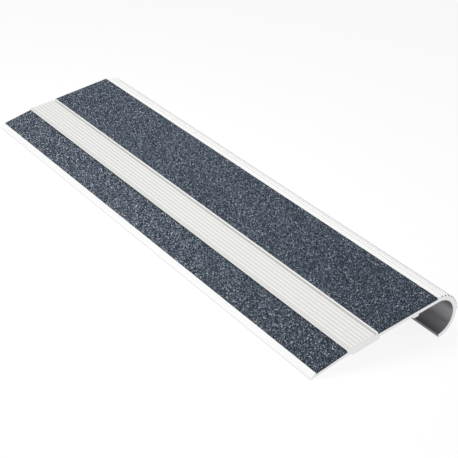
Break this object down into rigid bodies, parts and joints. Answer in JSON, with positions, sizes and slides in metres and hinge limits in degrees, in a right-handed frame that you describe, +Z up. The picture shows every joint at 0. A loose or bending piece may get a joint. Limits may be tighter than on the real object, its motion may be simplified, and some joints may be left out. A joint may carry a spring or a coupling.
{
  "type": "stair nosing",
  "caption": "Aluminium stair nosing with a half-round front edge, a ribbed band and two abrasive grit strips, for fixing over the edge of a stair tread.",
  "frame": {"origin": "centre of the bounding box's bottom face, on the floor that the nosing lies on unheld", "axes": "+X across the strip from the lip to the half-round nose, +Y along the stock's length, +Z up. The nosing lies as it comes to rest, on its lip and the tip of its curl, so its top faces tilt up by about 14 degrees towards the nose."},
  "size_m": [0.0892, 0.3, 0.0242],
  "materials": {
    "aluminium": "satin mill-finish extruded aluminium with bright edges",
    "grit": "rough dark slate-coloured abrasive grit set in resin"
  },
  "bodies": {
    "root": {"extrusion": "aluminium", "wide_grit_insert": "grit", "narrow_grit_insert": "grit"}
  },
  "joints": []
}
